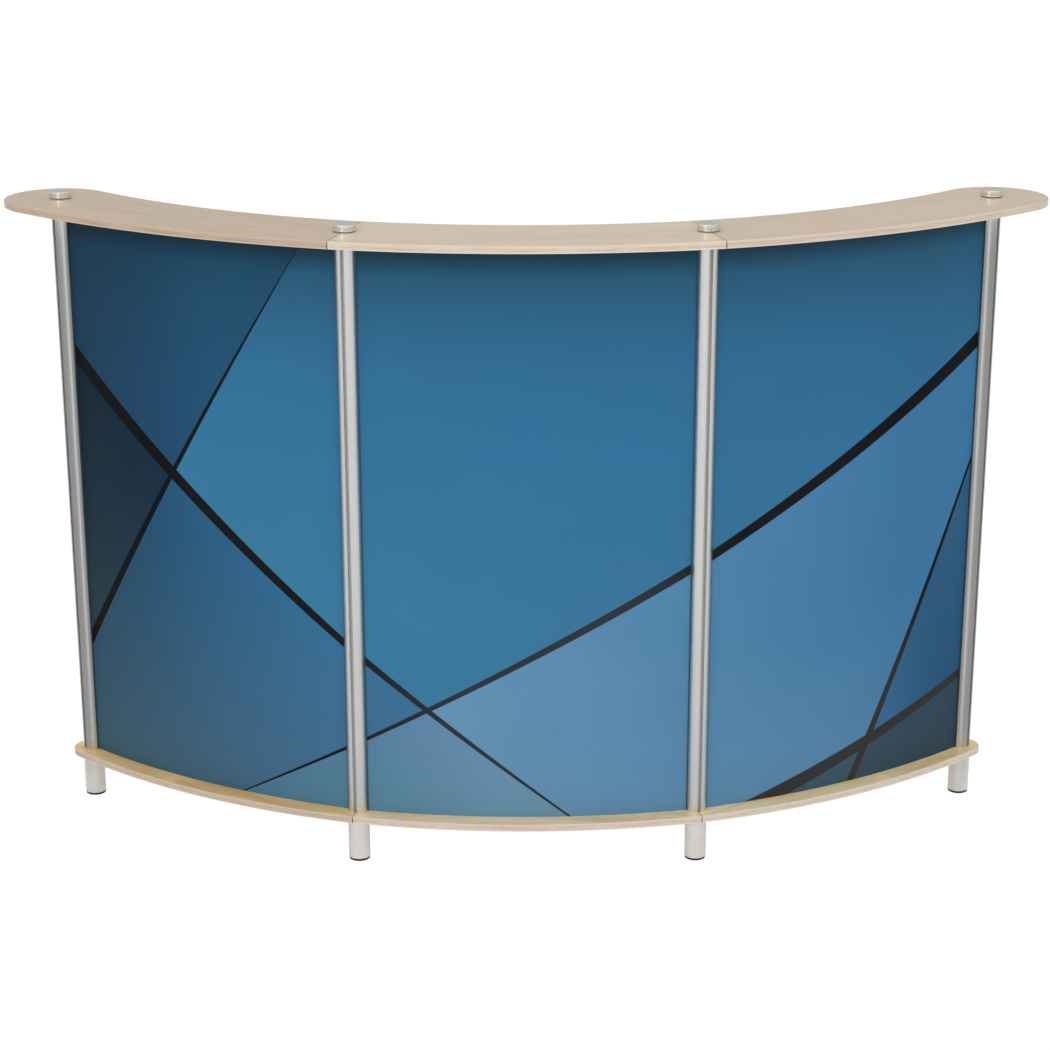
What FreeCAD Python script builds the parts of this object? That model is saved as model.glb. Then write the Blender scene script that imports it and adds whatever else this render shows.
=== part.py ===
import FreeCAD, Part
import math
import os
import Sketcher

# Curved three-bay checkout counter.
# Row frame: +Z up, X along the counter, -Y towards the customer (the convex
# side), origin on the floor at the centre of the footprint box.
# Plan geometry: the four posts stand on one circle, "post_circle", spaced by
# "bay_angle".  Each bay's boards and panel are arcs whose centre lies
# "arc_setback" behind the post circle's centre, so every bay is a little
# flatter than the circle.

doc = FreeCAD.newDocument("curved_checkout_counter")
V3 = FreeCAD.Vector

# ---------------------------------------------------------------- dimensions
DIMS = [
    ("post_circle", 1026.0, "radius of the circle of post axes"),
    ("bay_angle", 30.5, "angle between neighbouring posts, degrees"),
    ("arc_setback", 80.0, "how far each bay's arc centre lies behind the post circle's centre"),
    ("counter_height", 1016.0, "floor to worktop surface"),
    ("board_thick", 12.0, "plywood thickness, worktop and base rail"),
    ("base_under", 72.0, "floor to base rail underside"),
    ("edge_round", 2.2, "roundover of the worktop's long edges"),
    ("rail_round", 1.8, "roundover of the base rail's long edges"),
    ("seam_half_gap", 0.5, "half of the gap between butted boards"),
    ("top_front", 1107.5, "worktop front radius on a seam line"),
    ("top_back", 945.5, "worktop back radius on a seam line"),
    ("top_front_mid", 1104.8, "worktop front radius in the middle of a bay"),
    ("top_back_mid", 944.0, "worktop back radius in the middle of a bay"),
    ("top_end_radius", 84.0, "radius of the worktop's rounded ends"),
    ("top_end_shift", 4.0, "worktop end centre past the outer post, along the counter"),
    ("top_end_out", 2.5, "worktop end centre outside the post circle"),
    ("rail_half", 31.0, "half depth of the base rail"),
    ("rail_end_shift", 1.5, "base rail end centre past the outer post"),
    ("stud_hole", 5.5, "radius of the stud holes through the boards"),
    ("post_radius", 16.0, "post outer radius"),
    ("slot_half", 3.0, "half width of a post's slot"),
    ("slot_lip", 13.2, "radius where the slot's mouth opens out"),
    ("slot_wing", 5.0, "half width of the slot behind its lips"),
    ("slot_floor", 9.6, "radius where the slot's wide part ends"),
    ("slot_root", 7.6, "radius of the slot's floor"),
    ("core_radius", 4.25, "post core bore"),
    ("tap_radius", 5.0, "post core bore tapped for the studs"),
    ("tap_depth", 36.0, "depth of the tapped length"),
    ("cap_radius", 17.4, "hand cap radius"),
    ("cap_tall", 10.2, "hand cap height"),
    ("cap_bore", 5.05, "hand cap bore radius over the stud's crests"),
    ("cap_bore_deep", 8.0, "hand cap bore depth"),
    ("cap_groove_low", 2.9, "height of the cap's lowest grip groove"),
    ("cap_groove_pitch", 0.9, "spacing of the cap's grip grooves"),
    ("cap_groove_deep", 0.3, "depth of the cap's grip grooves"),
    ("washer_radius", 16.4, "cap washer radius"),
    ("washer_thick", 1.0, "cap washer thickness"),
    ("washer_bore", 5.5, "cap washer bore radius"),
    ("top_stud_long", 54.0, "top stud length"),
    ("foot_radius", 17.0, "foot radius"),
    ("foot_tall", 68.4, "foot height"),
    ("foot_bore_deep", 28.0, "foot bore depth for the foot stud"),
    ("foot_stud_long", 73.0, "foot stud length"),
    ("glide_radius", 16.5, "glide radius"),
    ("glide_tall", 3.6, "glide height"),
    ("glide_socket", 1.2, "glide's socket floor above the ground"),
    ("lev_radius", 4.0, "levelling stud radius"),
    ("lev_bore", 4.05, "radius of the bores the levelling stud runs in"),
    ("lev_long", 33.0, "levelling stud length"),
    ("lev_bore_deep", 34.0, "depth of the foot's levelling bore"),
    ("panel_thick", 2.0, "graphic panel thickness"),
    ("panel_seam", 1027.3, "panel front radius on a seam line"),
    ("panel_mid", 1022.0, "panel front radius in the middle of a bay"),
    ("panel_inset", 10.0, "panel edge to post axis"),
    ("panel_tall", 919.4, "panel height"),
    ("trim_thick", 5.0, "edge trim thickness"),
    ("trim_start", 8.0, "edge trim back to post axis"),
    ("trim_end", 16.9, "edge trim front to post axis"),
    ("trim_slot", 2.1, "edge trim slot width"),
    ("dowel_radius", 3.0, "dowel radius"),
    ("dowel_long", 38.0, "dowel length"),
    ("top_dowel_out", 46.0, "worktop dowels from the post circle"),
    ("rail_dowel_out", 19.0, "base rail dowels from the post circle"),
]
sheet = doc.addObject("Spreadsheet::Sheet", "Dims")
for row, (alias, value, note) in enumerate(DIMS, start=1):
    sheet.set("A%d" % row, alias)
    sheet.set("B%d" % row, str(value))
    sheet.set("C%d" % row, note)
    sheet.setAlias("B%d" % row, alias)
doc.recompute()


def D(alias):
    return float(getattr(sheet, alias))


# ------------------------------------------------------------- plan geometry
TH = D("bay_angle")
RP = D("post_circle")
POST_ANGLES = [(i - 1.5) * TH for i in range(4)]
POST_NAMES = ["outer_left", "inner_left", "inner_right", "outer_right"]
BAYS = ["left", "centre", "right"]


def er(a):
    """outward radial unit vector at angle a (degrees from straight ahead)"""
    r = math.radians(a)
    return V3(math.sin(r), -math.cos(r), 0)


def et(a):
    """tangential unit vector at angle a, towards +X"""
    r = math.radians(a)
    return V3(math.cos(r), math.sin(r), 0)


def circle3(p1, p2, p3):
    """centre and radius of the circle through three plan points"""
    c = Part.Circle(V3(p1.x, p1.y, 0), V3(p2.x, p2.y, 0), V3(p3.x, p3.y, 0))
    return V3(c.Center.x, c.Center.y, 0), c.Radius


def on_line(a, off, c, rho):
    """point of circle (c, rho) on the line parallel to er(a), off to its +et side"""
    e, t = er(a), et(a)
    base = t * off - c
    b = e.dot(base)
    u = -b + math.sqrt(b * b - base.dot(base) + rho * rho)
    return e * u + t * off


def mid_arc(c, rho, p1, p2):
    """middle point of the short arc p1-p2 of circle (c, rho)"""
    m = (p1 + p2) * 0.5 - c
    m.normalize()
    return c + m * rho


# the footprint box centre is the origin, so the post circle's centre is moved
end_c0 = (er(POST_ANGLES[3]) * (RP + D("top_end_out"))
          + et(POST_ANGLES[3]) * D("top_end_shift"))
y_back = end_c0.y + D("top_end_radius")
y_front = -D("top_front_mid")
SHIFT = V3(0, -(y_back + y_front) / 2.0, 0)


def post_xy(i):
    return er(POST_ANGLES[i]) * RP + SHIFT


# ------------------------------------------------------------ sketch helpers
def plane_of(body, role):
    for f in body.Origin.OriginFeatures:
        if f.Role == role:
            return f
    raise RuntimeError("no plane " + role)


def new_sketch(body, name, role="XY_Plane"):
    sk = body.newObject("Sketcher::SketchObject", name)
    sk.AttachmentSupport = [(plane_of(body, role), "")]
    sk.MapMode = "FlatFace"
    return sk


def add_line(sk, p, q):
    return sk.addGeometry(Part.LineSegment(V3(p[0], p[1], 0), V3(q[0], q[1], 0)), False)


def add_arc(sk, p, m, q):
    g = Part.Arc(V3(p.x, p.y, 0), V3(m.x, m.y, 0), V3(q.x, q.y, 0))
    return sk.addGeometry(g, False)


def polygon(sk, pts):
    n = len(pts)
    for k in range(n):
        add_line(sk, pts[k], pts[(k + 1) % n])


def pad(body, sk, name, alias):
    p = body.newObject("PartDesign::Pad", name)
    p.Profile = sk
    p.setExpression("Length", "Dims." + alias)
    sk.Visibility = False
    return p


def place(obj, x, y, z, ang=0.0):
    obj.Placement = FreeCAD.Placement(V3(x, y, z), FreeCAD.Rotation(V3(0, 0, 1), ang))


NODES = []


def keep(obj, label):
    obj.Label = label
    NODES.append(obj)
    return obj


# --------------------------------------------------------------- the boards
def board_outline(bay, front, front_mid, back, back_mid, end_r, end_t, end_out):
    """closed list of plan edges of one board: ('arc',p,m,q) or ('line',p,q)"""
    g = D("seam_half_gap")
    hole = D("stud_hole")
    phi = (bay - 1) * TH
    aL, aR = phi - TH / 2.0, phi + TH / 2.0
    edges, holes, smooth = [], [], []
    if bay == 1:
        cf, rf = circle3(er(aL) * front, er(phi) * front_mid, er(aR) * front)
        cb, rb = circle3(er(aL) * back, er(phi) * back_mid, er(aR) * back)
        p1, p2 = on_line(aL, g, cf, rf), on_line(aR, -g, cf, rf)
        q1, q2 = on_line(aL, g, cb, rb), on_line(aR, -g, cb, rb)
        edges.append(("arc", p1, mid_arc(cf, rf, p1, p2), p2))
        hc = er(aR) * RP
        s = math.sqrt(hole * hole - g * g)
        h1, h2 = hc + er(aR) * s - et(aR) * g, hc - er(aR) * s - et(aR) * g
        edges.append(("line", p2, h1))
        edges.append(("arc", h1, hc - et(aR) * hole, h2))
        edges.append(("line", h2, q2))
        edges.append(("arc", q2, mid_arc(cb, rb, q2, q1), q1))
        hc = er(aL) * RP
        h1, h2 = hc - er(aL) * s + et(aL) * g, hc + er(aL) * s + et(aL) * g
        edges.append(("line", q1, h1))
        edges.append(("arc", h1, hc + et(aL) * hole, h2))
        edges.append(("line", h2, p1))
        return edges, holes
    # outer boards: s = +1 for the right bay, -1 for the left
    s = bay - 1
    a_seam, a_end = (aL, aR) if s > 0 else (aR, aL)
    ce = er(a_end) * (RP + end_out) + et(a_end) * (s * end_t)
    ps, pm = er(a_seam) * front, er(phi) * front_mid
    qs, qm = er(a_seam) * back, er(phi) * back_mid
    # long arcs tangent to the end circle, found by iteration
    p3 = ce + er(a_end) * end_r
    q3 = ce - er(a_end) * end_r
    for _ in range(60):
        cf, rf = circle3(ps, pm, p3)
        d = ce - cf
        d.normalize()
        p3 = ce + d * end_r
        cb, rb = circle3(qs, qm, q3)
        d = cb - ce
        d.normalize()
        q3 = ce + d * end_r
    cf, rf = circle3(ps, pm, p3)
    cb, rb = circle3(qs, qm, q3)
    p1 = on_line(a_seam, s * g, cf, rf)
    q1 = on_line(a_seam, s * g, cb, rb)
    edges.append(("arc", p1, mid_arc(cf, rf, p1, p3), p3))
    edges.append(("arc", p3, ce + et(a_end) * (s * end_r), q3))
    edges.append(("arc", q3, mid_arc(cb, rb, q3, q1), q1))
    hc = er(a_seam) * RP
    k = math.sqrt(hole * hole - g * g)
    h1 = hc - er(a_seam) * k + et(a_seam) * (s * g)
    h2 = hc + er(a_seam) * k + et(a_seam) * (s * g)
    edges.append(("line", q1, h1))
    edges.append(("arc", h1, hc + et(a_seam) * (s * hole), h2))
    edges.append(("line", h2, p1))
    holes.append(er(a_end) * RP)
    return edges, holes


def make_board(tag, bay, z_expr, round_alias, dims, dowel_out):
    label = "%s_%s" % (BAYS[bay], tag)
    body = doc.addObject("PartDesign::Body", label + "_blank")
    sk = new_sketch(body, label + "_plan")
    edges, holes = board_outline(bay, *dims)
    long_arcs = []
    ids = []
    for e in edges:
        pts = [p + SHIFT for p in e[1:]]
        if e[0] == "line":
            ids.append(add_line(sk, (pts[0].x, pts[0].y), (pts[1].x, pts[1].y)))
        else:
            ids.append(add_arc(sk, *pts))
            if (pts[0] - pts[2]).Length > 4 * D("stud_hole"):
                long_arcs.append((pts[0], pts[1], pts[2]))
    for h in holes:
        c = h + SHIFT
        cid = sk.addGeometry(Part.Circle(V3(c.x, c.y, 0), V3(0, 0, 1), D("stud_hole")), False)
        con = sk.addConstraint(Sketcher.Constraint("Radius", cid, D("stud_hole")))
        sk.setExpression("Constraints[%d]" % con, "Dims.stud_hole")
    p = pad(body, sk, label + "_pad", "board_thick")
    doc.recompute()
    names = []
    for n, edge in enumerate(p.Shape.Edges, start=1):
        bb = edge.BoundBox
        if bb.ZMax - bb.ZMin > 0.01 or not isinstance(edge.Curve, Part.Circle):
            continue
        if edge.Curve.Radius > 2 * D("stud_hole"):
            names.append("Edge%d" % n)
    f = body.newObject("PartDesign::Fillet", label + "_roundover")
    f.Base = (p, names)
    f.setExpression("Radius", "Dims." + round_alias)
    doc.recompute()
    body.Tip = f
    body.setExpression("Placement.Base.z", z_expr)
    # dowel holes in the seam faces
    seams = {0: [1], 1: [1, 2], 2: [2]}[bay]
    tools = []
    for sidx in seams:
        a = POST_ANGLES[sidx]
        for sign in (1, -1):
            cyl = doc.addObject("Part::Cylinder", label + "_dowel_bore")
            cyl.setExpression("Radius", "Dims.dowel_radius")
            cyl.setExpression("Height", "Dims.dowel_long + 2")
            hl = (D("dowel_long") + 2) / 2.0
            c = er(a) * (RP + sign * D(dowel_out)) + SHIFT - et(a) * hl
            rot = FreeCAD.Rotation(V3(0, 0, 1), et(a))
            cyl.Placement = FreeCAD.Placement(V3(c.x, c.y, 0), rot)
            cyl.setExpression("Placement.Base.z", z_expr + " + Dims.board_thick / 2")
            tools.append(cyl)
    comp = doc.addObject("Part::Compound", label + "_bores")
    comp.Links = tools
    cut = doc.addObject("Part::Cut", label)
    cut.Base = body
    cut.Tool = comp
    return keep(cut, label)


TOP = (D("top_front"), D("top_front_mid"), D("top_back"), D("top_back_mid"),
       D("top_end_radius"), D("top_end_shift"), D("top_end_out"))


def ring_mid(seam_r):
    """mid-bay radius of an arc that meets the seam line at seam_r"""
    d = D("arc_setback")
    rho = math.sqrt(seam_r ** 2 + d * d + 2 * seam_r * d * math.cos(math.radians(TH / 2)))
    return rho - d


RH = D("rail_half")
RAIL = (RP + RH, ring_mid(RP + RH), RP - RH, ring_mid(RP - RH), RH, D("rail_end_shift"), 0.0)

Z_TOP = "Dims.counter_height - Dims.board_thick"
Z_RAIL = "Dims.base_under"
for bay in range(3):
    make_board("countertop", bay, Z_TOP, "edge_round", TOP, "top_dowel_out")
for bay in range(3):
    make_board("base_rail", bay, Z_RAIL, "rail_round", RAIL, "rail_dowel_out")

z_top_under = D("counter_height") - D("board_thick")
z_rail_top = D("base_under") + D("board_thick")


def dowels(label, z_expr, out_alias):
    cyls = []
    for sidx in (1, 2):
        a = POST_ANGLES[sidx]
        for sign in (1, -1):
            cyl = doc.addObject("Part::Cylinder", label + "_pin")
            cyl.setExpression("Radius", "Dims.dowel_radius")
            cyl.setExpression("Height", "Dims.dowel_long")
            c = er(a) * (RP + sign * D(out_alias)) + SHIFT - et(a) * (D("dowel_long") / 2.0)
            cyl.Placement = FreeCAD.Placement(V3(c.x, c.y, 0), FreeCAD.Rotation(V3(0, 0, 1), et(a)))
            cyl.setExpression("Placement.Base.z", z_expr + " + Dims.board_thick / 2")
            cyls.append(cyl)
    comp = doc.addObject("Part::Compound", label)
    comp.Links = cyls
    return keep(comp, label)


dowels("countertop_dowels", Z_TOP, "top_dowel_out")
dowels("base_dowels", Z_RAIL, "rail_dowel_out")


# ---------------------------------------------------------------- the posts
def make_post(i):
    label = POST_NAMES[i] + "_post"
    body = doc.addObject("PartDesign::Body", label)
    sk = new_sketch(body, label + "_section")
    R, w = D("post_radius"), D("slot_half")
    lip, wing, fl, root = D("slot_lip"), D("slot_wing"), D("slot_floor"), D("slot_root")
    mouth = math.sqrt(R * R - w * w)
    slot = [(mouth, -w), (lip, -w), (lip, -wing), (fl, -wing), (fl, -w), (root, -w),
            (root, w), (fl, w), (fl, wing), (lip, wing), (lip, w), (mouth, w)]

    def rot(p, k):
        a = math.radians(90 * k)
        return (p[0] * math.cos(a) - p[1] * math.sin(a), p[0] * math.sin(a) + p[1] * math.cos(a))
    for k in range(4):
        pts = [rot(p, k) for p in slot]
        for j in range(len(pts) - 1):
            add_line(sk, pts[j], pts[j + 1])
        nxt = rot(slot[0], k + 1)
        m = rot((R * math.cos(math.pi / 4), R * math.sin(math.pi / 4)), k)
        add_arc(sk, V3(pts[-1][0], pts[-1][1], 0), V3(m[0], m[1], 0), V3(nxt[0], nxt[1], 0))
    cid = sk.addGeometry(Part.Circle(V3(0, 0, 0), V3(0, 0, 1), D("core_radius")), False)
    Sk = Sketcher
    con = sk.addConstraint(Sk.Constraint("Radius", cid, D("core_radius")))
    sk.setExpression("Constraints[%d]" % con, "Dims.core_radius")
    p = body.newObject("PartDesign::Pad", label + "_extrusion")
    p.Profile = sk
    p.setExpression("Length", "Dims.counter_height - 2 * Dims.board_thick - Dims.base_under")
    doc.recompute()
    v0 = p.Shape.Volume
    for end in ("foot", "head"):
        s2 = new_sketch(body, label + "_" + end + "_tap")
        if end == "head":
            s2.setExpression("AttachmentOffset.Base.z",
                             "Dims.counter_height - 2 * Dims.board_thick - Dims.base_under")
        c2 = s2.addGeometry(Part.Circle(V3(0, 0, 0), V3(0, 0, 1), D("tap_radius")), False)
        con = s2.addConstraint(Sk.Constraint("Radius", c2, D("tap_radius")))
        s2.setExpression("Constraints[%d]" % con, "Dims.tap_radius")
        pk = body.newObject("PartDesign::Pocket", label + "_" + end + "_bore")
        pk.Profile = s2
        pk.setExpression("Length", "Dims.tap_depth")
        pk.Reversed = (end == "foot")
        doc.recompute()
    cut = v0 - body.Shape.Volume
    want = 2 * math.pi * (D("tap_radius") ** 2 - D("core_radius") ** 2) * D("tap_depth")
    if abs(cut - want) > 1.0:
        raise RuntimeError("%s: taps removed %.1f, expected %.1f" % (label, cut, want))
    c = post_xy(i)
    place(body, c.x, c.y, 0, POST_ANGLES[i] - 90.0)
    body.setExpression("Placement.Base.z", "Dims.base_under + Dims.board_thick")
    return keep(body, label)


for i in range(4):
    make_post(i)


# ------------------------------------------------------------ turned pieces
def revolved(label, pts, x, y, z_expr):
    """a body turned about its own Z axis from (radius, height) points"""
    body = doc.addObject("PartDesign::Body", label)
    sk = new_sketch(body, label + "_profile", "XZ_Plane")
    polygon(sk, pts)
    r = body.newObject("PartDesign::Revolution", label + "_turn")
    r.Profile = sk
    r.ReferenceAxis = (sk, ["V_Axis"])
    r.Angle = 360.0
    sk.Visibility = False
    place(body, x, y, 0)
    body.setExpression("Placement.Base.z", z_expr)
    return keep(body, label)


cr, ct, cb, cd = D("cap_radius"), D("cap_tall"), D("cap_bore"), D("cap_bore_deep")
gl, gp, gd = D("cap_groove_low"), D("cap_groove_pitch"), D("cap_groove_deep")
CAP = [(cb, 0), (cr - 0.9, 0), (cr, 0.7)]
for k in range(5):
    CAP += [(cr, gl + k * gp - 0.22), (cr - gd, gl + k * gp - 0.06),
            (cr - gd, gl + k * gp + 0.06), (cr, gl + k * gp + 0.22)]
CAP += [(cr, ct - 1.0), (cr - 0.3, ct - 0.3), (cr - 1.0, ct), (0, ct), (0, cd), (cb, cd)]
fr, ft = D("foot_radius"), D("foot_tall")
FOOT = [(D("lev_bore"), 0), (fr - 1.0, 0), (fr - 0.3, 0.4), (fr, 1.2), (fr, ft - 0.4), (fr - 0.4, ft),
        (D("tap_radius"), ft), (D("tap_radius"), ft - D("foot_bore_deep")),
        (0, ft - D("foot_bore_deep")), (0, D("lev_bore_deep")), (D("lev_bore"), D("lev_bore_deep"))]
gr, gt = D("glide_radius"), D("glide_tall")
GLIDE = [(0, 0), (gr - 1.3, 0), (gr - 0.3, 0.5), (gr, 1.3), (gr, gt - 0.3), (gr - 0.3, gt),
         (D("lev_bore"), gt), (D("lev_bore"), D("glide_socket")), (0, D("glide_socket"))]

for i, name in enumerate(POST_NAMES):
    c = post_xy(i)
    revolved(name + "_cap", CAP, c.x, c.y, "Dims.counter_height + Dims.washer_thick")
    # captive washer under the cap
    o = doc.addObject("Part::Cylinder", name + "_washer_disc")
    o.setExpression("Radius", "Dims.washer_radius")
    o.setExpression("Height", "Dims.washer_thick")
    b = doc.addObject("Part::Cylinder", name + "_washer_bore")
    b.setExpression("Radius", "Dims.washer_bore")
    b.setExpression("Height", "Dims.washer_thick")
    w = doc.addObject("Part::Cut", name + "_cap_washer")
    w.Base, w.Tool = o, b
    place(w, c.x, c.y, 0)
    w.setExpression("Placement.Base.z", "Dims.counter_height")
    keep(w, name + "_cap_washer")
    # top stud: post core, worktop, washer, cap
    st = doc.addObject("Part::Cylinder", name + "_top_stud")
    st.setExpression("Radius", "Dims.tap_radius")
    st.setExpression("Height", "Dims.top_stud_long")
    place(st, c.x, c.y, 0)
    st.setExpression("Placement.Base.z",
                     "Dims.counter_height + Dims.washer_thick + Dims.cap_bore_deep - 0.5 - Dims.top_stud_long")
    keep(st, name + "_top_stud")
    # foot, its stud, glide and levelling stud
    revolved(name + "_foot", FOOT, c.x, c.y, "Dims.base_under - Dims.foot_tall")
    fs = doc.addObject("Part::Cylinder", name + "_foot_stud")
    fs.setExpression("Radius", "Dims.tap_radius")
    fs.setExpression("Height", "Dims.foot_stud_long")
    place(fs, c.x, c.y, 0)
    fs.setExpression("Placement.Base.z", "Dims.base_under - Dims.foot_bore_deep + 1")
    keep(fs, name + "_foot_stud")
    revolved(name + "_glide", GLIDE, c.x, c.y, "Dims.glide_tall * 0")
    ls = doc.addObject("Part::Cylinder", name + "_levelling_stud")
    ls.setExpression("Radius", "Dims.lev_radius")
    ls.setExpression("Height", "Dims.lev_long")
    place(ls, c.x, c.y, 0)
    ls.setExpression("Placement.Base.z", "Dims.glide_socket")
    keep(ls, name + "_levelling_stud")


# --------------------------------------------------- panels and edge trims
def make_panel(bay):
    label = BAYS[bay] + "_panel"
    phi = (bay - 1) * TH
    aL, aR = phi - TH / 2.0, phi + TH / 2.0
    ps, pm = D("panel_seam"), D("panel_mid")
    cf, rf = circle3(er(aL) * ps, er(phi) * pm, er(aR) * ps)
    rb = rf - D("panel_thick")
    off = D("panel_inset")
    p1, p2 = on_line(aL, off, cf, rf), on_line(aR, -off, cf, rf)
    q1, q2 = on_line(aL, off, cf, rb), on_line(aR, -off, cf, rb)
    body = doc.addObject("PartDesign::Body", label)
    sk = new_sketch(body, label + "_plan")
    S = SHIFT
    add_arc(sk, p1 + S, mid_arc(cf, rf, p1, p2) + S, p2 + S)
    add_line(sk, (p2 + S)[0:2], (q2 + S)[0:2])
    add_arc(sk, q2 + S, mid_arc(cf, rb, q2, q1) + S, q1 + S)
    add_line(sk, (q1 + S)[0:2], (p1 + S)[0:2])
    pad(body, sk, label + "_sheet", "panel_tall")
    body.setExpression("Placement.Base.z", "Dims.base_under + Dims.board_thick")
    keep(body, label)
    # the two edge trims: U sections that slip over the panel's edges
    trims = []
    for side, a, sgn in (("near", aL, 1), ("far", aR, -1)):
        rm = rf - D("panel_thick") / 2.0
        m = on_line(a, sgn * 14.0, cf, rm)
        n = m - cf
        n.normalize()
        t = V3(-n.y, n.x, 0)
        if t.dot(et(a)) * sgn < 0:
            t = t * -1
        h, ht = D("trim_thick") / 2.0, D("trim_slot") / 2.0
        s0, s1, s2 = D("trim_start") - 14.0, D("panel_inset") - 0.1 - 14.0, D("trim_end") - 14.0
        loc = [(s0, -h), (s2, -h), (s2, -ht), (s1, -ht), (s1, ht), (s2, ht), (s2, h), (s0, h)]
        tb = doc.addObject("PartDesign::Body", "%s_trim_%s" % (BAYS[bay], side))
        tsk = new_sketch(tb, "%s_trim_%s_section" % (BAYS[bay], side))
        pts = []
        for u, v in loc:
            q = m + t * u + n * v + S
            pts.append((q.x, q.y))
        polygon(tsk, pts)
        pad(tb, tsk, "%s_trim_%s_strip" % (BAYS[bay], side), "panel_tall")
        tb.setExpression("Placement.Base.z", "Dims.base_under + Dims.board_thick")
        trims.append(tb)
    comp = doc.addObject("Part::Compound", BAYS[bay] + "_panel_trims")
    comp.Links = trims
    return keep(comp, BAYS[bay] + "_panel_trims")


for bay in range(3):
    make_panel(bay)

# ------------------------------------------------------------ check and save
doc.recompute()
bad = [o.Name for o in doc.Objects if "Invalid" in o.State or "Error" in o.State]
if bad:
    raise RuntimeError("failed objects: %s" % bad)
labels = [o.Label for o in NODES]
if len(set(labels)) != len(labels) or len(labels) > 60:
    raise RuntimeError("node labels clash or too many")
os.makedirs("parts", exist_ok=True)
for o in NODES:
    s = o.Shape
    if s.isNull() or not s.isValid() or not s.Solids:
        raise RuntimeError("bad shape: " + o.Label)
for o in NODES:
    o.Shape.exportStep("parts/%s.step" % o.Label)
box = FreeCAD.BoundBox()
for o in NODES:
    box.add(o.Shape.BoundBox)
print("nodes", len(NODES), "box", [round(v, 2) for v in (box.XMin, box.XMax, box.YMin, box.YMax, box.ZMin, box.ZMax)])
for i in range(4):
    c = post_xy(i)
    print(POST_NAMES[i], round(c.x, 4), round(c.y, 4))
print("post circle centre y", round(SHIFT.y, 4))
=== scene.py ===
"""Looks for the curved three-bay checkout counter: plywood worktop and base rail,
slotted aluminium posts with hand caps, round feet and printed panels."""

import math

import bpy
from mathutils import Matrix, Vector


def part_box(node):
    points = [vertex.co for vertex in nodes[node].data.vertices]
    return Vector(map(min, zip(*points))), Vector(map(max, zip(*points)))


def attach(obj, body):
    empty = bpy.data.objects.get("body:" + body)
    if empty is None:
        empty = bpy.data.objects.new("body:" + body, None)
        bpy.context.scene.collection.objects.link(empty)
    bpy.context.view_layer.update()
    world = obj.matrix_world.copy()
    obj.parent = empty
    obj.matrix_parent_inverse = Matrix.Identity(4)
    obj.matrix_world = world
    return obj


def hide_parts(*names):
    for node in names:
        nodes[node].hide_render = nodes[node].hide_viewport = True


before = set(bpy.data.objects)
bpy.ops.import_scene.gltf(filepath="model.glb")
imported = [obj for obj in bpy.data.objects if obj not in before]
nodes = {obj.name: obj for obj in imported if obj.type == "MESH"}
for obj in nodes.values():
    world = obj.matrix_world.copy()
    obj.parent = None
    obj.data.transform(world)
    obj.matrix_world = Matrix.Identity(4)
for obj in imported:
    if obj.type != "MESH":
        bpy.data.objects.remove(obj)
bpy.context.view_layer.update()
scene = bpy.context.scene
scene.view_settings.view_transform = "Standard"
scene.view_settings.look = "None"
scene.view_settings.exposure = 0.0
scene.view_settings.gamma = 1.0

POSTS = ("outer_left", "inner_left", "inner_right", "outer_right")
BAYS = ("left", "centre", "right")
BAY_ANGLE = math.radians(30.5)
PHI = {"left": -BAY_ANGLE, "centre": 0.0, "right": BAY_ANGLE}
CIRCLE_Y = 0.867806        # centre of the circle that the posts stand on
ARC_BACK = 0.1748          # a panel's arc centre lies this far behind it
HALF_ARC = math.radians(13.05)


def axis_of(node):
    lo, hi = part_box(node)
    return (lo[0] + hi[0]) / 2, (lo[1] + hi[1]) / 2


POST_AXIS = {n: axis_of(n + "_cap") for n in POSTS}


def srgb(r, g, b):
    """an 8-bit display colour as linear light"""
    out = []
    for c in (r, g, b):
        c = c / 255.0
        out.append(c / 12.92 if c <= 0.04045 else ((c + 0.055) / 1.055) ** 2.4)
    return tuple(out)


# ------------------------------------------------------------------ node graphs
class V:
    """a value travelling through a material's node graph"""

    def __init__(self, g, socket):
        self.g, self.s = g, socket

    def __add__(self, o):
        return self.g.math("ADD", self, o)

    __radd__ = __add__

    def __sub__(self, o):
        return self.g.math("SUBTRACT", self, o)

    def __rsub__(self, o):
        return self.g.math("SUBTRACT", o, self)

    def __mul__(self, o):
        return self.g.math("MULTIPLY", self, o)

    __rmul__ = __mul__

    def __truediv__(self, o):
        return self.g.math("DIVIDE", self, o)


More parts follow.
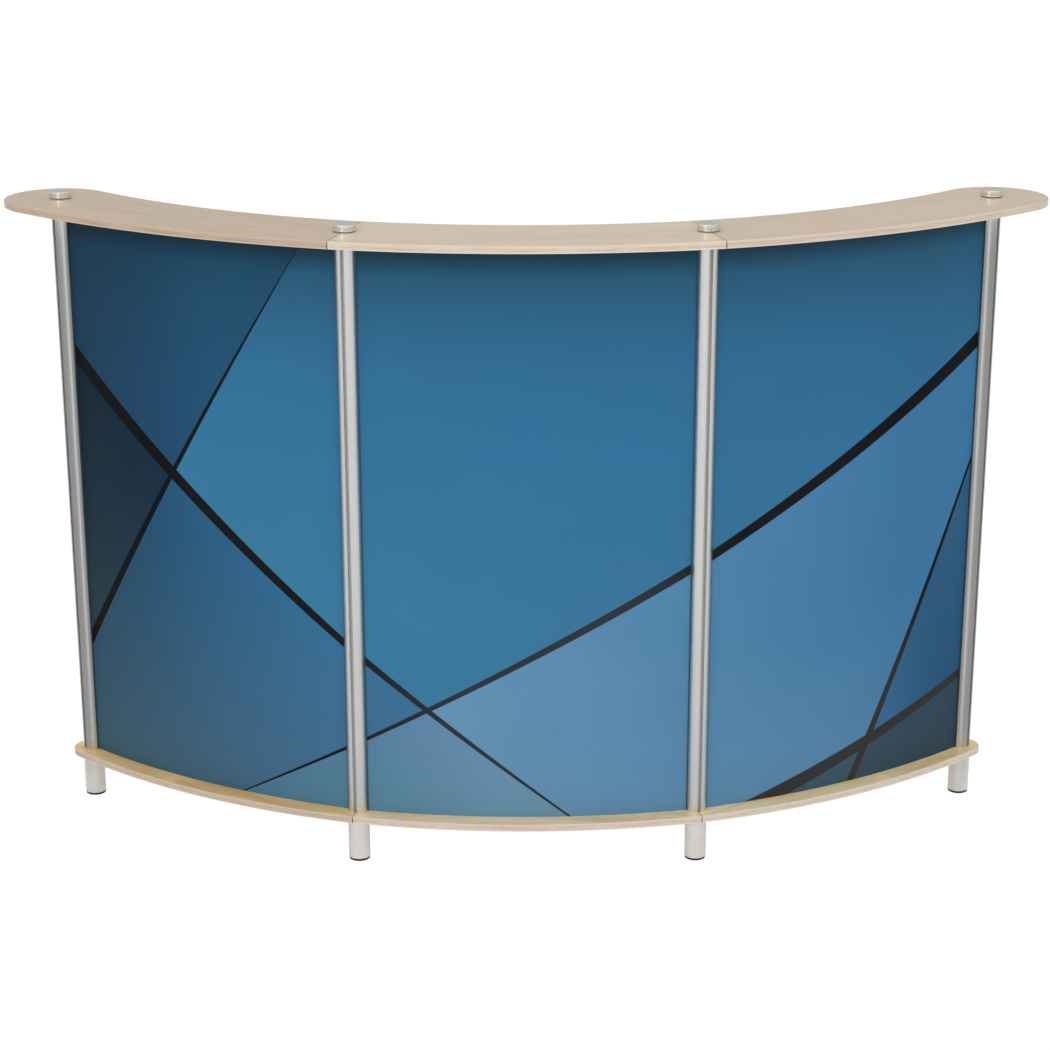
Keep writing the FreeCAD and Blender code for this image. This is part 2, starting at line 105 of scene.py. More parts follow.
class Graph:
    def __init__(self, name):
        self.mat = bpy.data.materials.new(name)
        self.mat.use_nodes = True
        self.t = self.mat.node_tree
        self.t.nodes.clear()
        self.out = self.t.nodes.new("ShaderNodeOutputMaterial")
        self.bsdf = self.t.nodes.new("ShaderNodeBsdfPrincipled")
        self.t.links.new(self.bsdf.outputs[0], self.out.inputs["Surface"])
        self.coord = None

    def new(self, kind):
        return self.t.nodes.new(kind)

    def put(self, value, socket):
        if isinstance(value, V):
            self.t.links.new(value.s, socket)
        elif value is not None:
            if hasattr(socket.default_value, "__len__"):
                n = len(socket.default_value)
                if not hasattr(value, "__len__"):
                    value = (value,) * 3
                value = tuple(value)[:n]
                if len(value) < n:
                    value = value + (1.0,)
            socket.default_value = value

    def math(self, op, a, b=None, c=None, clamp=False):
        n = self.new("ShaderNodeMath")
        n.operation, n.use_clamp = op, clamp
        self.put(a, n.inputs[0])
        if b is not None:
            self.put(b, n.inputs[1])
        if c is not None:
            self.put(c, n.inputs[2])
        return V(self, n.outputs[0])

    def obj(self):
        """place on the piece, in metres in the row frame at rest"""
        if self.coord is None:
            self.coord = self.new("ShaderNodeTexCoord")
        return V(self, self.coord.outputs["Object"])

    def normal(self):
        n = self.new("ShaderNodeNewGeometry")
        return V(self, n.outputs["Normal"])

    def split(self, v):
        n = self.new("ShaderNodeSeparateXYZ")
        self.put(v, n.inputs[0])
        return [V(self, n.outputs[i]) for i in range(3)]

    def join(self, x, y, z):
        n = self.new("ShaderNodeCombineXYZ")
        for i, c in enumerate((x, y, z)):
            self.put(c, n.inputs[i])
        return V(self, n.outputs[0])

    def ramp(self, x, lo, hi, a=0.0, b=1.0, smooth=True):
        """a to b as x goes from lo to hi, held outside"""
        n = self.new("ShaderNodeMapRange")
        n.interpolation_type = "SMOOTHSTEP" if smooth else "LINEAR"
        n.clamp = True
        self.put(x, n.inputs["Value"])
        n.inputs["From Min"].default_value = lo
        n.inputs["From Max"].default_value = hi
        n.inputs["To Min"].default_value = a
        n.inputs["To Max"].default_value = b
        return V(self, n.outputs["Result"])

    def mix(self, f, a, b, mode="MIX"):
        n = self.new("ShaderNodeMix")
        n.data_type, n.blend_type = "RGBA", mode
        n.clamp_factor = True
        self.put(f, n.inputs[0])
        self.put(a, n.inputs[6])
        self.put(b, n.inputs[7])
        return V(self, n.outputs[2])

    def noise(self, vec, scale=1.0, detail=3.0, rough=0.5, distort=0.0, dims="3D", w=None):
        n = self.new("ShaderNodeTexNoise")
        n.noise_dimensions = dims
        if dims != "1D":
            self.put(vec, n.inputs["Vector"])
        if w is not None:
            self.put(w, n.inputs["W"])
        n.inputs["Scale"].default_value = scale
        n.inputs["Detail"].default_value = detail
        n.inputs["Roughness"].default_value = rough
        n.inputs["Distortion"].default_value = distort
        return V(self, n.outputs["Fac"])

    def bump(self, height, distance, strength=1.0, normal=None):
        n = self.new("ShaderNodeBump")
        n.inputs["Strength"].default_value = strength
        n.inputs["Distance"].default_value = distance
        self.put(height, n.inputs["Height"])
        if normal is not None:
            self.put(normal, n.inputs["Normal"])
        return V(self, n.outputs[0])

    def set(self, **kw):
        for key, value in kw.items():
            self.put(value, self.bsdf.inputs[key.replace("_", " ")])
        return self.mat


def scaled(col, k):
    return tuple(c * k for c in col)


def paint(node, mat):
    me = nodes[node].data
    if len(me.materials) == 0:
        me.materials.append(mat)
    for i in range(len(me.materials)):
        me.materials[i] = mat


# ------------------------------------------------------------------ plywood
def plywood(name, turn, z0, seed, face, face_dark, edge_pale, edge_dark, glue, coat=0.8,
            coat_rough=0.12):
    """Birch ply under clear lacquer. Faces carry veneer grain along the board, edges
    show the plies by height. turn is the board's direction, z0 its underside."""
    g = Graph(name)
    x, y, z = g.split(g.obj())
    c, s = math.cos(turn), math.sin(turn)
    along = x * c + y * s
    across = y * c - x * s
    # veneer: wandering flame figure, long streaks, soft clouds and short dark pores
    wander = g.noise(g.join(along * 2.6 + seed, across * 7.0, seed), 1.0, 3.0, 0.55)
    flame = g.noise(g.join(along * 3.2 + seed * 1.7, across * 54.0 + wander * 5.0, seed), 1.0, 4.0, 0.62)
    streak = g.noise(g.join(along * 22.0, across * 900.0 + wander * 30.0, seed * 2.1), 1.0, 3.0, 0.6)
    fleck = g.noise(g.join(along * 95.0, across * 1900.0, seed * 3.3), 1.0, 2.0, 0.5)
    cloud = g.noise(g.join(along * 11.0, across * 34.0, seed * 5.0), 1.0, 3.0, 0.55)
    grain = (g.ramp(flame, 0.36, 0.68) * 0.38 + g.ramp(streak, 0.40, 0.74) * 0.27
             + g.ramp(cloud, 0.3, 0.72) * 0.35)
    veneer = g.mix(grain, face, face_dark)
    pores = g.ramp(fleck, 0.66, 0.78)
    veneer = g.mix(pores * 0.22, veneer, scaled(face_dark, 0.66))
    # edge: nine plies, every other one end grain, each with its own run of tone
    wav = g.noise(g.join(along * 7.0, across * 7.0, seed), 1.0, 2.0, 0.5)
    layer = (z - z0) * (9.0 / 0.012) + (wav - 0.5) * 0.16
    k = g.math("FLOOR", layer)
    odd = g.math("FLOORED_MODULO", k, 2.0)
    run = g.noise(g.join(along * 13.0, across * 13.0, k * 5.3 + seed), 1.0, 4.0, 0.62)
    fibre = g.noise(g.join(along * 70.0, across * 70.0, z * 5200.0 + seed), 1.0, 3.0, 0.6)
    pit = g.noise(g.join(along * 700.0, across * 700.0, z * 2600.0 + seed), 1.0, 2.0, 0.6)
    shade = g.ramp(run, 0.36, 0.68) * (odd * 0.55 + 0.32) + g.ramp(fibre, 0.35, 0.7) * 0.16
    # the middle plies are the darkest, lighter towards the top, and the lowest band is the brightest
    up = (z - z0) * (1.0 / 0.012)
    core = g.ramp(up, 0.15, 0.24) * g.ramp(up, 1.0, 0.42, 0.25, 1.0)
    edge = g.mix(shade * (core * 1.15), edge_pale, edge_dark)
    edge = g.mix(g.ramp(up, 0.20, 0.14) * 0.9, edge, scaled(edge_pale, 1.26))
    edge = g.mix(g.ramp(pit, 0.58, 0.75) * odd * 0.35, edge, scaled(edge_dark, 0.72))
    seam = g.math("FRACT", layer)
    lines = g.ramp(seam, 0.06, 0.0) + g.ramp(seam, 0.94, 1.0)
    edge = g.mix(lines * g.ramp(run, 0.35, 0.65) * 0.5, edge, glue)
    # face or edge, by the way the surface looks
    nz = g.math("ABSOLUTE", g.split(g.normal())[2])
    is_face = g.ramp(nz, 0.84, 0.95)
    col = g.mix(is_face, edge, veneer)
    # painted shade in the butt joints between the boards: their walls are painted near black, darker
    # further down into the gap
    sa = BAY_ANGLE / 2
    off = g.math("ABSOLUTE", g.math("ABSOLUTE", x) * math.cos(sa) - (CIRCLE_Y - y) * math.sin(sa))
    gap_shade_depth = g.ramp(z - z0, 0.0115, 0.0060, 0.25, 0.9)
    col = g.mix(g.ramp(off, 0.00085, 0.00060) * gap_shade_depth, col, (0.030, 0.020, 0.014))
    rough = g.ramp(streak, 0.3, 0.8, 0.42, 0.52)
    relief = (streak * 0.6 + fleck * 0.4) * is_face + pit * (1.0 - is_face) * 1.4
    g.set(Base_Color=col, Roughness=rough, Normal=g.bump(relief, 0.00005, 0.4))
    g.set(Coat_Weight=coat, Coat_Roughness=coat_rough)
    g.bsdf.inputs["Specular IOR Level"].default_value = 0.4
    return g.mat


# face, darker figure, pale ply, dark ply: each board has its own run of colour
TOP_TONES = {
    "left": (srgb(212, 184, 153), srgb(199, 168, 136), srgb(197, 177, 154), srgb(170, 139, 113)),
    "centre": (srgb(229, 209, 179), srgb(216, 194, 161), srgb(221, 207, 188), srgb(193, 167, 143)),
    "right": (srgb(223, 197, 169), srgb(209, 182, 151), srgb(214, 199, 181), srgb(187, 160, 137))}
BASE_TONES = {
    "left": (srgb(250, 218, 153), srgb(214, 166, 98), srgb(208, 192, 173), srgb(180, 154, 131)),
    "centre": (srgb(250, 230, 186), srgb(221, 178, 127), srgb(222, 205, 189), srgb(192, 167, 147)),
    "right": (srgb(250, 237, 186), srgb(224, 184, 124), srgb(223, 210, 197), srgb(195, 172, 154))}
GLUE = srgb(146, 112, 88)
for i, bay in enumerate(BAYS):
    paint(bay + "_countertop",
          plywood(bay + "_worktop_birch", PHI[bay], 1.004, 3.1 + 4.7 * i, *TOP_TONES[bay], GLUE))
    paint(bay + "_base_rail",
          plywood(bay + "_base_birch", PHI[bay], 0.072, 21.3 + 5.9 * i, *BASE_TONES[bay], GLUE,
                  0.6, 0.2))


def beech(name):
    g = Graph(name)
    x, y, z = g.split(g.obj())
    lines = g.noise(g.join(x * 60.0, y * 60.0, z * 900.0), 1.0, 3.0, 0.6)
    flute = g.noise(g.join(x * 1400.0, y * 1400.0, z * 1400.0), 1.0, 2.0, 0.5)
    col = g.mix(g.ramp(lines, 0.3, 0.7), srgb(214, 178, 138), srgb(186, 146, 106))
    g.set(Base_Color=col, Roughness=g.ramp(flute, 0.3, 0.7, 0.5, 0.66), Normal=g.bump(flute, 0.0001, 0.4))
    return g.mat


BEECH = beech("dowel_beech_turned")
paint("countertop_dowels", BEECH)
paint("base_dowels", BEECH)


# ------------------------------------------------------------------ metals
def extrusion(name, seed, cx, cy):
    """Satin anodised aluminium: fine die lines run the length of the profile."""
    g = Graph(name)
    x, y, z = g.split(g.obj())
    die = g.noise(g.join(x * 1500.0, y * 1500.0, z * 0.5 + seed), 1.0, 2.0, 0.6)
    wide = g.noise(g.join(x * 330.0, y * 330.0, z * 0.3 + seed), 1.0, 2.0, 0.5)
    bloom = g.noise(g.join(x * 30.0, y * 30.0, z * 7.0 + seed), 1.0, 3.0, 0.55)
    grit = g.noise(g.obj(), 2600.0, 2.0, 0.6)
    tone = g.ramp(die, 0.25, 0.75) * 0.4 + g.ramp(wide, 0.3, 0.7) * 0.4 + g.ramp(bloom, 0.3, 0.7) * 0.2
    col = g.mix(tone, srgb(215, 216, 214), srgb(227, 228, 226))
    # the anodising inside the slots stays paler and duller than the polished outside
    dx, dy = x - cx, y - cy
    r = g.math("SQRT", dx * dx + dy * dy)
    inside = g.ramp(r, 0.0140, 0.0130) * g.ramp(r, 0.0052, 0.0060)
    rough = g.ramp(die * 0.6 + bloom * 0.4, 0.3, 0.7, 0.27, 0.34) + inside * 0.2
    g.set(Base_Color=col, Metallic=g.ramp(inside, 0.0, 1.0, 1.0, 0.55), Roughness=rough,
          Normal=g.bump(die * 0.7 + grit * 0.3, 0.00001, 0.3))
    return g.mat


def turned(name, cx, cy):
    """Lathe-turned aluminium: rings round the axis on the flat faces and up the side."""
    g = Graph(name)
    x, y, z = g.split(g.obj())
    dx, dy = x - cx, y - cy
    r = g.math("SQRT", dx * dx + dy * dy)
    rings = g.noise(g.join(r * 5200.0, z * 5200.0, cx * 10.0), 1.0, 2.0, 0.6)
    broad = g.noise(g.join(r * 900.0, z * 900.0, cy * 10.0), 1.0, 1.0, 0.5)
    smudge = g.noise(g.obj(), 160.0, 3.0, 0.6)
    col = g.mix(g.ramp(rings, 0.3, 0.7), srgb(222, 222, 221), srgb(234, 234, 232))
    rough = g.ramp(smudge * 0.4 + broad * 0.6, 0.3, 0.7, 0.24, 0.27)
    g.set(Base_Color=col, Metallic=1.0, Roughness=rough, Normal=g.bump(rings, 0.000004, 0.12))
    return g.mat


def satin_tube(name, cx, cy):
    """Feet: aluminium tube, bead-blasted then anodised, so the sheen is broad."""
    g = Graph(name)
    grain = g.noise(g.obj(), 3200.0, 3.0, 0.65)
    drift = g.noise(g.obj(), 55.0, 3.0, 0.55)
    x, y, z = g.split(g.obj())
    scuff = g.ramp(z, 0.0065, 0.0040) * g.ramp(drift, 0.35, 0.6)
    col = g.mix(g.ramp(drift, 0.3, 0.7), srgb(233, 232, 230), srgb(240, 239, 237))
    col = g.mix(scuff * 0.5, col, srgb(196, 192, 188))
    rough = g.ramp(grain, 0.3, 0.7, 0.42, 0.52)
    g.set(Base_Color=col, Metallic=0.9, Roughness=rough, Normal=g.bump(grain, 0.00003, 0.4))
    return g.mat


def zinc(name):
    g = Graph(name)
    cell = g.noise(g.obj(), 420.0, 3.0, 0.6)
    fine = g.noise(g.obj(), 3600.0, 2.0, 0.6)
    col = g.mix(g.ramp(cell, 0.35, 0.65), srgb(176, 178, 182), srgb(204, 204, 200))
    g.set(Base_Color=col, Metallic=1.0, Roughness=g.ramp(cell, 0.3, 0.7, 0.28, 0.42),
          Normal=g.bump(fine, 0.00003, 0.4))
    return g.mat


def moulded(name, tone, light, rough_lo, rough_hi, grain_scale=1500.0):
    """Moulded plastic with a fine spark-eroded texture."""
    g = Graph(name)
    grain = g.noise(g.obj(), grain_scale, 3.0, 0.6)
    flow = g.noise(g.obj(), 90.0, 3.0, 0.55)
    col = g.mix(g.ramp(flow, 0.3, 0.7), tone, light)
    g.set(Base_Color=col, Roughness=g.ramp(grain, 0.3, 0.7, rough_lo, rough_hi),
          Normal=g.bump(grain, 0.00005, 0.4))
    g.bsdf.inputs["Specular IOR Level"].default_value = 0.4
    return g.mat


ZINC = zinc("zinc_plate")
BLACK = moulded("glide_polymer", srgb(9, 8, 9), srgb(17, 15, 16), 0.5, 0.66)
NYLON = moulded("washer_nylon_brown", srgb(112, 86, 58), srgb(132, 104, 72), 0.4, 0.55)
# painted shade: the panel trims get a dark grey that stands in for the shade where the panels enter the
# posts' slots
TRIM_SHADE_GREY = moulded("panel_trim_painted_shade", srgb(52, 62, 68), srgb(66, 76, 82), 0.38, 0.5)
for i, n in enumerate(POSTS):
    cx, cy = POST_AXIS[n]
    paint(n + "_post", extrusion(n + "_anodised", 2.0 + 3.7 * i, cx, cy))
    paint(n + "_cap", turned(n + "_turned", cx, cy))
    paint(n + "_foot", satin_tube(n + "_blasted", cx, cy))
    paint(n + "_cap_washer", NYLON)
    paint(n + "_glide", BLACK)
    for stud in ("_top_stud", "_foot_stud", "_levelling_stud"):
        paint(n + stud, ZINC)
for bay in BAYS:
    paint(bay + "_panel_trims", TRIM_SHADE_GREY)


# ------------------------------------------------------------------ printed panels

# the print's dark bands: two edges each, in metres across (U) and down (V) the print
ROW_BANDS = {"A": (0.8110, 0.2067, 0.7799, 0.2383), "C": (-0.5659, 1.1083, -0.5466, 1.1044),
             "E": (-0.3230, 1.2954, -0.3489, 1.3523)}
COL_BANDS = {"B": (-0.6497, 0.4755, -0.6273, 0.4763), "D": (-0.4835, 1.8003, -0.4632, 1.7974)}

# facet colours: each facet is one plain gradient between a left and a right tone, at its top
# and its bottom (the big one has a middle too)
FACETS = {
    "R1": ([0.03, 0.3], [0.05, 0.28],
           [[(20, 60, 88), (24, 80, 112)],
            [(24, 64, 96), (28, 84, 124)]]),
    "R2": ([0.15, 1.58], [0.02, 0.2, 0.6],
           [[(36, 92, 124), (40, 92, 124)],
            [(48, 118, 162), (44, 110, 154)],
            [(60, 134, 174), (56, 116, 156)]]),
    "R3": ([0.03, 0.2], [0.3, 0.66],
           [[(8, 32, 48), (4, 40, 64)],
            [(40, 64, 76), (32, 60, 80)]]),
    "R4": ([0.03, 0.52], [0.5, 0.9],
           [[(28, 72, 104), (48, 120, 168)],
            [(64, 96, 116), (72, 116, 152)]]),
    "R5": ([0.38, 0.78], [0.76, 0.92],
           [[(76, 124, 152), (112, 152, 192)],
            [(76, 128, 156), (108, 152, 180)]]),
    "R6": ([0.66, 1.45], [0.6, 0.9],
           [[(108, 156, 192), (60, 124, 172)],
            [(108, 156, 192), (88, 136, 176)]]),
    "R7": ([1.42, 1.55], [0.52, 0.82],
           [[(40, 96, 140), (44, 96, 136)],
            [(56, 112, 156), (36, 88, 128)]]),
    "R8": ([1.05, 1.4], [0.84, 0.92],
           [[(64, 88, 108), (60, 88, 104)],
            [(64, 88, 108), (60, 88, 104)]]),
    "R9": ([1.38, 1.6], [0.8, 0.92],
           [[(56, 80, 96), (48, 72, 88)],
            [(56, 80, 96), (52, 72, 88)]]),
}
PRINT_GAIN = (0.92, 0.92, 0.92)


def dense(at, values, parts):
    """more stops along one axis, on a smooth curve through the given ones"""
    n = len(at)
    slope = []
    for k in range(n):
        a, b = max(k - 1, 0), min(k + 1, n - 1)
        slope.append([(q - p) / (at[b] - at[a]) for p, q in zip(values[a], values[b])])
    out_at, out = [], []
    for k in range(n - 1):
        h = at[k + 1] - at[k]
        for i in range(parts):
            t = i / parts
            w = (2 * t ** 3 - 3 * t ** 2 + 1, t ** 3 - 2 * t ** 2 + t,
                 3 * t ** 2 - 2 * t ** 3, t ** 3 - t ** 2)
            out_at.append(at[k] + h * t)
            out.append([w[0] * p + w[1] * h * m + w[2] * q + w[3] * h * r for p, m, q, r in
                        zip(values[k], slope[k], values[k + 1], slope[k + 1])])
    return out_at + [at[-1]], out + [list(values[-1])]


def field(g, uu, vv, cols, rows, table):
    """smoothly blended colours over a small grid"""
    flat = [[c for cell in row for c in cell] for row in table]
    v_at, flat = dense(rows, flat, 3)
    across = g.ramp(uu, cols[0], cols[-1], smooth=False)
    out = None
    for k, row in enumerate(flat):
        cells = [row[3 * i:3 * i + 3] for i in range(len(cols))]
        u_at, cells = dense(cols, cells, 4)
        n = g.new("ShaderNodeValToRGB")
        g.put(across, n.inputs[0])
        stops = n.color_ramp.elements
        while len(stops) < len(u_at):
            stops.new(0.5)
        for e, p, c in zip(stops, u_at, cells):
            e.position = (p - cols[0]) / (cols[-1] - cols[0])
        for e, c in zip(stops, cells):
            c = [min(255.0, max(0.0, x)) for x in c]
            e.color = tuple(a * b for a, b in zip(srgb(*c), PRINT_GAIN)) + (1.0,)
        line = V(g, n.outputs[0])
        if out is None:
            out = line
        else:
            out = g.mix(g.ramp(vv, v_at[k - 1], v_at[k], smooth=False), out, line)
    return out


def panel_print(bay, index):
    """One bay of the print: faceted blues crossed by dark tapering bands."""
    g = Graph(bay + "_panel_print")
    phi = PHI[bay]
    cx = -ARC_BACK * math.sin(phi)
    cy = CIRCLE_Y + ARC_BACK * math.cos(phi)
    x, y, z = g.split(g.obj())
    ang = g.math("ARCTAN2", x - cx, cy - y)
    u = (ang - phi) * (0.27 / HALF_ARC) + (0.54 * index + 0.27)
    v = 1.004 - z
    soft = 0.0005

    def side(expr):
        return g.ramp(expr, -soft, soft)

    below = {}
    for k, (m1, c1, m2, c2) in ROW_BANDS.items():
        below[k] = side(v - (u * ((m1 + m2) / 2) + (c1 + c2) / 2))
    right = {}
    for k, (m1, c1, m2, c2) in COL_BANDS.items():
        right[k] = side(u - (v * ((m1 + m2) / 2) + (c1 + c2) / 2))
    tone = {k: field(g, u, v, *spec) for k, spec in FACETS.items()}
    above_a = g.mix(right["B"], tone["R1"], tone["R2"])
    below_a = g.mix(right["B"], tone["R3"], tone["R4"])
    upper = g.mix(below["A"], above_a, below_a)
    under = g.mix(below["A"], tone["R6"], tone["R5"])
    under = g.mix(right["D"], under, tone["R7"])
    foot = g.mix(right["D"], tone["R8"], tone["R9"])
    under = g.mix(below["E"], under, foot)
    col = g.mix(below["C"], upper, under)
    # dark bands
    band = None
    for k, (m1, c1, m2, c2) in ROW_BANDS.items():
        one = side(v - (u * m1 + c1)) * side((u * m2 + c2) - v)
        band = one if band is None else g.math("MAXIMUM", band, one)
    for k, (m1, c1, m2, c2) in COL_BANDS.items():
        one = side(u - (v * m1 + c1)) * side((v * m2 + c2) - u)
        band = g.math("MAXIMUM", band, one)
    ink = g.mix(g.ramp(u, 0.45, 0.75), srgb(9, 13, 18), srgb(42, 50, 58))
    ink = g.mix(g.ramp(u, 0.95, 1.15), ink, srgb(10, 14, 19))
    ink = g.mix(g.ramp(v, 0.55, 0.82) * g.ramp(u, 0.85, 1.15), ink, srgb(50, 50, 54))
    col = g.mix(band, col, ink)
    # fine print mottle, and the matt laminate's faint orange peel
    dots = g.noise(g.join(u * 900.0, v * 900.0, 3.0 + index), 1.0, 3.0, 0.6)
    cloud = g.noise(g.join(u * 7.0, v * 7.0, 9.0 + index), 1.0, 3.0, 0.5)
    col = g.mix((g.ramp(dots, 0.3, 0.7) * 0.10 + g.ramp(cloud, 0.3, 0.7) * 0.05) * (1.0 - band), col,
                scaled((0.06, 0.16, 0.26), 0.5), "MIX")
    # painted shade: the print is darkened towards its top border, where the worktop above shades it
    col = g.mix(g.ramp(v, 0.054, 0.014, smooth=False) * 0.62, col, (0.003, 0.006, 0.009))
    # only the convex face is printed; the back and the edges are bare sheet
    ny = g.split(g.normal())[1]
    drawn = g.noise(g.join(u * 260.0, v * 3.0, 5.0 + index), 1.0, 3.0, 0.55)
    speck = g.noise(g.obj(), 1100.0, 3.0, 0.6)
    bare = g.mix(g.ramp(drawn * 0.5 + speck * 0.5, 0.3, 0.7), srgb(224, 224, 221), srgb(230, 230, 227))
    front = g.ramp(ny, -0.25, -0.45)
    col = g.mix(front, bare, col)
    peel = g.noise(g.obj(), 700.0, 2.0, 0.5)
    g.set(Base_Color=col, Roughness=g.ramp(peel, 0.3, 0.7, 0.46, 0.54),
          Normal=g.bump(peel, 0.00006, 0.25))
    g.bsdf.inputs["Specular IOR Level"].default_value = 0.12
    return g.mat


for i, bay in enumerate(BAYS):
    paint(bay + "_panel", panel_print(bay, i))


# ------------------------------------------------------------------ added pieces
def mesh_piece(name, verts, faces, mat, smooth=True):
    me = bpy.data.meshes.new(name)
    me.from_pydata(verts, [], faces)
    me.validate()
    me.update()
    for p in me.polygons:
        p.use_smooth = smooth
    me.materials.append(mat)
    ob = bpy.data.objects.new(name, me)
    scene.collection.objects.link(ob)
    return ob


def thread(name, cx, cy, radius, pitch, z0, z1, mat, seg=48, steps=10):
    """A right-handed threaded rod with chamfered ends and closed end faces."""
    depth = 0.6134 * pitch
    rows = int(round((z1 - z0) / pitch * steps))
    verts, faces = [], []
    for k in range(rows + 1):
        z = z0 + (z1 - z0) * k / rows
        end = min(z - z0, z1 - z)
        lead = radius - depth * 1.15 + end
        for j in range(seg):
            t = 2 * math.pi * j / seg
            f = ((z - z0) / pitch - j / seg) % 1.0
            d = abs(f - 0.5) * 2.0                 # 1 at the crest, 0 at the root
            h = min(1.0, max(0.0, (d - 0.22) / 0.66))
            rr = min(radius - depth * (1.0 - h), lead)
            verts.append((cx + rr * math.cos(t), cy + rr * math.sin(t), z))
    for k in range(rows):
        for j in range(seg):
            a, b = k * seg + j, k * seg + (j + 1) % seg
            faces.append((a, b, b + seg, a + seg))
    low, high = len(verts), len(verts) + 1
    verts += [(cx, cy, z0), (cx, cy, z1)]
    for j in range(seg):
        faces.append((low, (j + 1) % seg, j))
        faces.append((high, rows * seg + j, rows * seg + (j + 1) % seg))
    return mesh_piece(name, verts, faces, mat)


for n in POSTS:
    cx, cy = POST_AXIS[n]
    lo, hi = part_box(n + "_top_stud")
    rod = thread(n + "_top_stud_thread", cx, cy, 0.005, 0.0015, lo[2], hi[2], ZINC)
    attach(rod, "frame")
    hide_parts(n + "_top_stud")
    lo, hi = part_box(n + "_levelling_stud")
    rod = thread(n + "_levelling_thread", cx, cy, 0.004, 0.00125, lo[2], hi[2], ZINC)
    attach(rod, n + "_levelling_stud")
    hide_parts(n + "_levelling_stud")


# ------------------------------------------------------------------ stage
def plane(name, z, size, mat, shown_to_camera):
    h = size / 2
    me = bpy.data.meshes.new(name)
    me.from_pydata([(-h, -h, z), (h, -h, z), (h, h, z), (-h, h, z)], [], [(0, 1, 2, 3)])
    me.materials.append(mat)
    ob = bpy.data.objects.new(name, me)
    scene.collection.objects.link(ob)
    ob.visible_camera = shown_to_camera
    ob.visible_diffuse = ob.visible_glossy = not shown_to_camera
    ob.visible_transmission = False
    ob.visible_shadow = False
    return ob


g = Graph("stage_paper")
g.set(Base_Color=(0.10, 0.10, 0.10), Roughness=0.9, Emission_Color=(1.0, 1.0, 1.0))
g.bsdf.inputs["Emission Strength"].default_value = 0.96
g.bsdf.inputs["Specular IOR Level"].default_value = 0.0
plane("stage_floor", -0.0002, 60.0, g.mat, True)
g = Graph("stage_bounce")
g.set(Base_Color=(0.85, 0.85, 0.85), Roughness=0.9)
g.bsdf.inputs["Specular IOR Level"].default_value = 0.0
plane("stage_bounce_floor", -0.0004, 14.0, g.mat, False)

g = Graph("stage_white")
g.set(Base_Color=(0.0, 0.0, 0.0), Roughness=1.0, Emission_Color=(1.0, 1.0, 1.0))
g.bsdf.inputs["Emission Strength"].default_value = 1.05
g.bsdf.inputs["Specular IOR Level"].default_value = 0.0
verts, faces = [], []
RINGS, SEGS, DOME = 12, 48, 28.0
for i in range(RINGS + 1):
    e = math.pi / 2 * i / RINGS
    for j in range(SEGS):
        a = 2 * math.pi * j / SEGS
        verts.append((DOME * math.cos(e) * math.cos(a), DOME * math.cos(e) * math.sin(a),
                      DOME * math.sin(e) - 0.01))
for i in range(RINGS):
    for j in range(SEGS):
        faces.append((i * SEGS + j, (i + 1) * SEGS + j, (i + 1) * SEGS + (j + 1) % SEGS,
                      i * SEGS + (j + 1) % SEGS))
me = bpy.data.meshes.new("stage_dome")
me.from_pydata(verts, [], faces)
me.materials.append(g.mat)
dome = bpy.data.objects.new("stage_dome", me)
scene.collection.objects.link(dome)
dome.visible_diffuse = dome.visible_glossy = dome.visible_transmission = False
dome.visible_shadow = False

# grey cards close round the two outer posts, seen only in reflections: they leave a
# narrow bright strip towards the front, as the real posts show
g = Graph("stage_grey_card")
g.set(Base_Color=(0.0, 0.0, 0.0), Roughness=1.0, Emission_Color=(1.0, 1.0, 1.0))
g.bsdf.inputs["Emission Strength"].default_value = 0.34
g.bsdf.inputs["Specular IOR Level"].default_value = 0.0
for n in ("outer_left", "outer_right"):
    cx, cy = POST_AXIS[n]
    face = math.atan2(-4.08845 - cy, -0.00846 - cx)
    for k, (a0, a1) in enumerate(((-100.0, -11.0), (11.0, 100.0))):
        verts, faces = [], []
        for j in range(13):
            a = face + math.radians(a0 + (a1 - a0) * j / 12)
            for z in (0.0, 0.96):
                verts.append((cx + 0.2 * math.cos(a), cy + 0.2 * math.sin(a), z))
        for j in range(12):
            faces.append((2 * j, 2 * j + 2, 2 * j + 3, 2 * j + 1))
        me = bpy.data.meshes.new("stage_card_%s_%d" % (n, k))
        me.from_pydata(verts, [], faces)
        me.materials.append(g.mat)
        card = bpy.data.objects.new(me.name, me)
        scene.collection.objects.link(card)
        card.visible_camera = card.visible_diffuse = card.visible_transmission = False
        card.visible_shadow = False

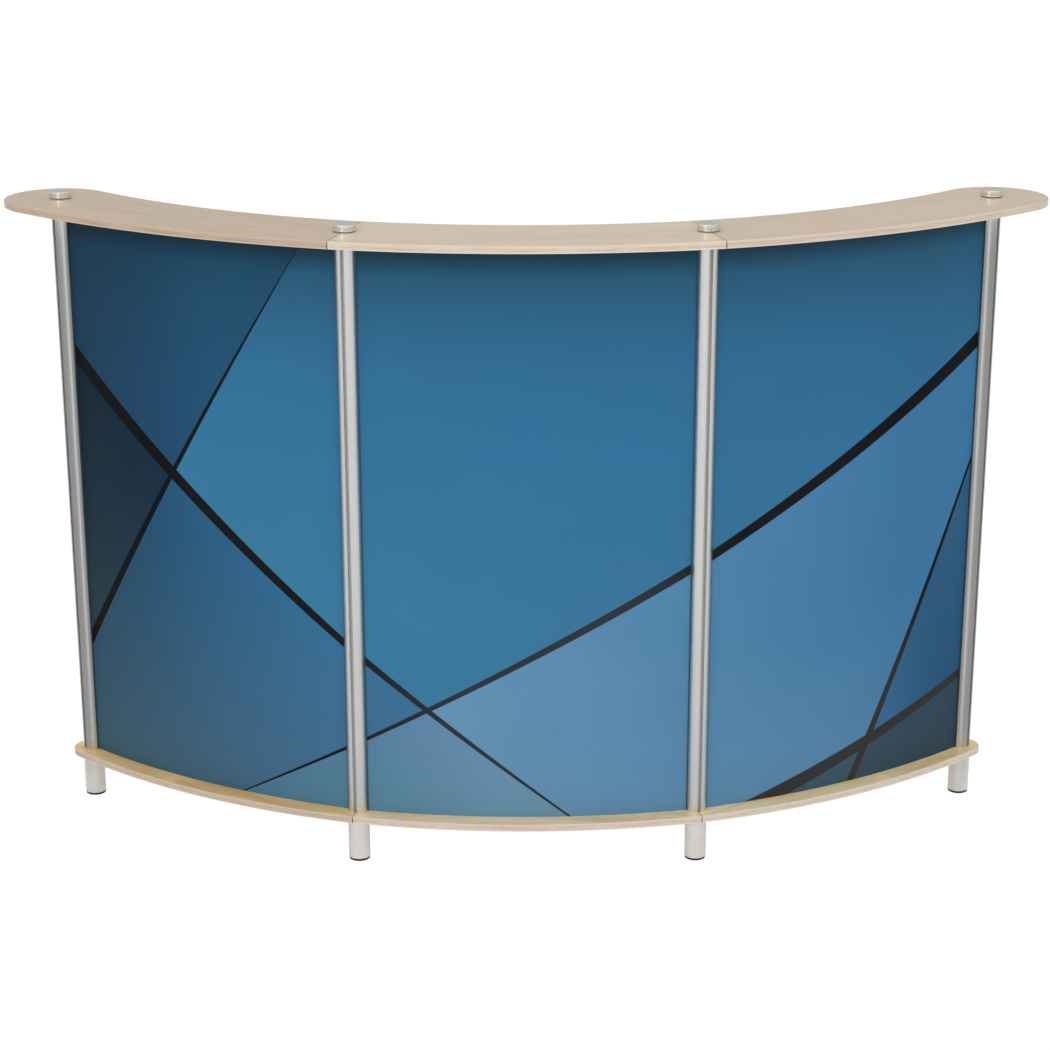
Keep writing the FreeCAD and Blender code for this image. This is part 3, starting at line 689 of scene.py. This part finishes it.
world = bpy.data.worlds.new("studio")
scene.world = world
world.use_nodes = True
wt = world.node_tree
wt.nodes.clear()
wo = wt.nodes.new("ShaderNodeOutputWorld")
wb = wt.nodes.new("ShaderNodeBackground")
tc = wt.nodes.new("ShaderNodeTexCoord")
sep = wt.nodes.new("ShaderNodeSeparateXYZ")
mr = wt.nodes.new("ShaderNodeMapRange")
mr.inputs["From Min"].default_value = -0.1
mr.inputs["From Max"].default_value = 0.9
mr.inputs["To Min"].default_value = 0.785
mr.inputs["To Max"].default_value = 0.87
wt.links.new(tc.outputs["Generated"], sep.inputs[0])
wt.links.new(sep.outputs[2], mr.inputs["Value"])
# the front wall of the studio is lit more than the back one
lean = wt.nodes.new("ShaderNodeMath")
lean.operation = "MULTIPLY_ADD"
wt.links.new(sep.outputs[1], lean.inputs[0])
lean.inputs[1].default_value = -0.36
lean.inputs[2].default_value = 1.0
both = wt.nodes.new("ShaderNodeMath")
both.operation = "MULTIPLY"
wt.links.new(mr.outputs["Result"], both.inputs[0])
wt.links.new(lean.outputs[0], both.inputs[1])
wt.links.new(both.outputs[0], wb.inputs["Strength"])
wb.inputs["Color"].default_value = (1.0, 0.995, 0.985, 1.0)
wt.links.new(wb.outputs[0], wo.inputs["Surface"])


def softbox(name, place, target, wide, tall, watts, mirrored=True):
    data = bpy.data.lights.new(name, "AREA")
    data.shape, data.size, data.size_y = "RECTANGLE", wide, tall
    data.energy = watts
    ob = bpy.data.objects.new(name, data)
    ob.location = place
    ob.rotation_euler = (Vector(target) - Vector(place)).to_track_quat("-Z", "Y").to_euler()
    ob.visible_camera = False
    ob.visible_glossy = mirrored        # its glare would bleach the lacquered worktop
    scene.collection.objects.link(ob)
    return ob


softbox("softbox_left", (-1.60, -2.75, 1.75), (-0.1, 0.0, 0.95), 0.60, 1.7, 6.5)
softbox("softbox_right", (1.75, -2.85, 1.75), (0.1, 0.0, 0.95), 0.60, 1.7, 8.0, False)

cam_data = bpy.data.cameras.new("photo_camera")
cam_data.sensor_fit = "HORIZONTAL"
cam_data.sensor_width = 36.0
cam_data.lens = 92.33
cam_data.shift_y = 0.1213
cam_data.clip_start, cam_data.clip_end = 0.05, 200.0
cam = bpy.data.objects.new("photo_camera", cam_data)
scene.collection.objects.link(cam)
cam.rotation_mode = "XYZ"
look = (Matrix.Rotation(math.radians(-0.074), 4, "Z")
        @ Matrix.Rotation(math.radians(90.0 - 19.992), 4, "X")
        @ Matrix.Rotation(math.radians(-0.077), 4, "Z"))
cam.matrix_world = Matrix.Translation((-0.00846, -4.08845, 1.79371)) @ look
scene.camera = cam
